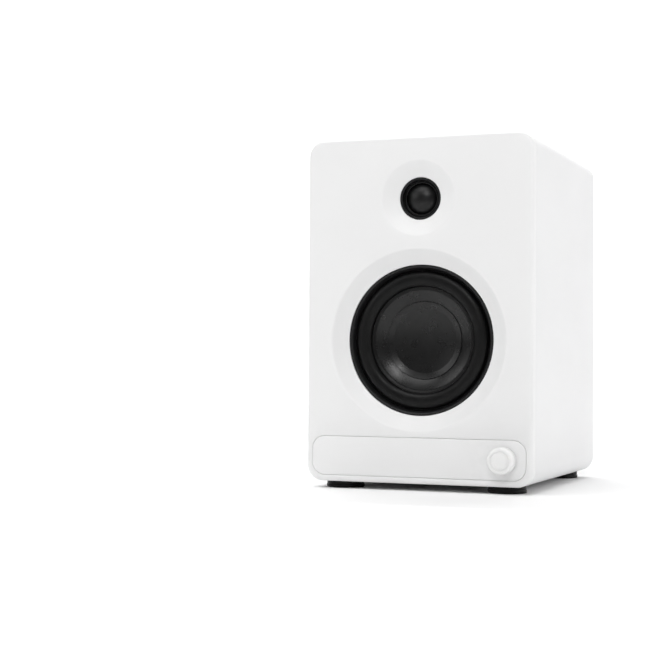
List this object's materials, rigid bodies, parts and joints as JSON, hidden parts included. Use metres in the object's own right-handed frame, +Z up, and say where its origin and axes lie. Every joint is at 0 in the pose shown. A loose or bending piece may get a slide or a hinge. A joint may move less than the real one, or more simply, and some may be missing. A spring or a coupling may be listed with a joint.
{
  "type": "bookshelf speaker",
  "caption": "White powered two-way bookshelf speaker with dished driver mouths, a knob on a lower trim panel and round rubber feet",
  "frame": {"origin": "on the surface it stands on, under the middle of its overall box", "axes": "+Z up, the front with the drivers and the knob faces -Y, +X to the right as seen from the front"},
  "size_m": [0.146, 0.195, 0.2195],
  "materials": {
    "white_wrap": "satin white wrap over fibreboard",
    "white_moulding": "satin white moulded plastic",
    "white_knob": "satin white",
    "raw_board": "raw fibreboard",
    "black_rubber": "matt black rubber",
    "black_moulding": "fine matt black",
    "cone_black": "coated black cone",
    "cap_black": "coated black cap",
    "silk_dome": "sealed silk",
    "spider_cloth": "varnished cloth",
    "former_foil": "thin foil",
    "copper_wire": "enamelled copper wire",
    "zinc_steel": "zinc plated steel",
    "black_steel": "black powder coat",
    "ferrite": "ferrite",
    "magnet_metal": "nickel plated magnet",
    "screw_black": "black oxide steel",
    "plate_black": "black anodised",
    "circuit_board": "green laminate",
    "sink_aluminium": "extruded aluminium",
    "transformer_iron": "ferrite core",
    "winding_tape": "yellow winding tape",
    "capacitor_sleeve": "dark sleeve",
    "connector_white": "natural nylon",
    "brass_contact": "plated brass",
    "socket_metal": "nickel plated",
    "insert_white": "white",
    "insert_red": "red",
    "lever_red": "red",
    "wire_sleeve": "pvc sleeve",
    "steel_shaft": "machined shaft",
    "damping_wadding": "polyester wadding"
  },
  "bodies": {
    "cabinet": {"amp_board": "circuit_board", "amp_heat_sink": "sink_aluminium", "amp_plate": "plate_black", "amplifier_screws": "screw_black", "aux_jack": "black_moulding", "baffle_screws": "screw_black", "board_connectors": "connector_white", "board_spacers": "brass_contact", "cabinet_shell": "white_wrap", "control_board": "circuit_board", "damping_lining": "damping_wadding", "encoder_cable": "wire_sleeve", "encoder_housing": "zinc_steel", "filter_capacitors": "capacitor_sleeve", "fixing_blocks": "raw_board", "front_baffle": "white_moulding", "mains_contacts": "brass_contact", "mains_inlet": "black_moulding", "port_tube": "black_moulding", "power_switch_housing": "black_moulding", "rca_body": "black_moulding", "rca_insert_red": "insert_red", "rca_insert_white": "insert_white", "rca_shells": "socket_metal", "rear_panel": "white_wrap", "rubber_feet": "black_rubber", "short_screws": "screw_black", "terminal_block": "black_moulding", "transformer_core": "transformer_iron", "transformer_winding": "winding_tape", "trim_panel": "white_moulding", "tweeter_cup": "zinc_steel", "tweeter_housing": "black_moulding", "tweeter_leads": "wire_sleeve", "tweeter_magnet": "magnet_metal", "tweeter_pole_plate": "zinc_steel", "tweeter_surround": "silk_dome", "tweeter_terminals": "brass_contact", "woofer_basket": "black_steel", "woofer_leads": "wire_sleeve", "woofer_magnet": "ferrite", "woofer_screws": "screw_black", "woofer_spider": "spider_cloth", "woofer_surround": "black_rubber", "woofer_terminals": "brass_contact", "woofer_top_plate": "zinc_steel", "woofer_trim_ring": "black_moulding", "woofer_yoke": "zinc_steel"},
    "woofer_moving": {"woofer_cone": "cone_black", "woofer_dust_cap": "cap_black", "woofer_coil_former": "former_foil", "woofer_coil": "copper_wire"},
    "tweeter_moving": {"tweeter_dome": "silk_dome", "tweeter_coil": "copper_wire"},
    "encoder_turning": {"encoder_rotor": "black_moulding"},
    "knob": {"volume_knob": "white_knob", "encoder_shaft": "steel_shaft"},
    "rocker": {"power_rocker": "black_moulding"},
    "lever_red": {"terminal_lever_red": "lever_red"},
    "lever_black": {"terminal_lever_black": "black_moulding"}
  },
  "joints": [
    {"name": "woofer_stroke", "type": "slide", "parent": "cabinet", "child": "woofer_moving", "axis": [0, 1, 0], "range_m": [-0.003, 0.003], "stiffness_N_per_m": 1500, "deforming": ["woofer_surround", "woofer_spider"]},
    {"name": "tweeter_stroke", "type": "slide", "parent": "cabinet", "child": "tweeter_moving", "axis": [0, 1, 0], "range_m": [-0.0003, 0.0003], "stiffness_N_per_m": 1200, "deforming": ["tweeter_surround"]},
    {"name": "knob_turn", "type": "hinge", "parent": "cabinet", "child": "encoder_turning", "pos_m": [0.055, -0.089, 0.02065], "axis": [0, 1, 0], "continuous": true},
    {"name": "knob_press", "type": "slide", "parent": "encoder_turning", "child": "knob", "axis": [0, 1, 0], "range_m": [0, 0.0005], "stiffness_N_per_m": 3000},
    {"name": "power_rock", "type": "hinge", "parent": "cabinet", "child": "rocker", "pos_m": [-0.033, 0.0892, 0.0835], "axis": [-1, 0, 0], "range_deg": [0, 16]},
    {"name": "red_lever_press", "type": "hinge", "parent": "cabinet", "child": "lever_red", "pos_m": [-0.0055, 0.092, 0.078], "axis": [1, 0, 0], "range_deg": [0, 15], "stiffness_Nm_per_rad": 0.05},
    {"name": "black_lever_press", "type": "hinge", "parent": "cabinet", "child": "lever_black", "pos_m": [0.0115, 0.092, 0.078], "axis": [1, 0, 0], "range_deg": [0, 15], "stiffness_Nm_per_rad": 0.05}
  ]
}
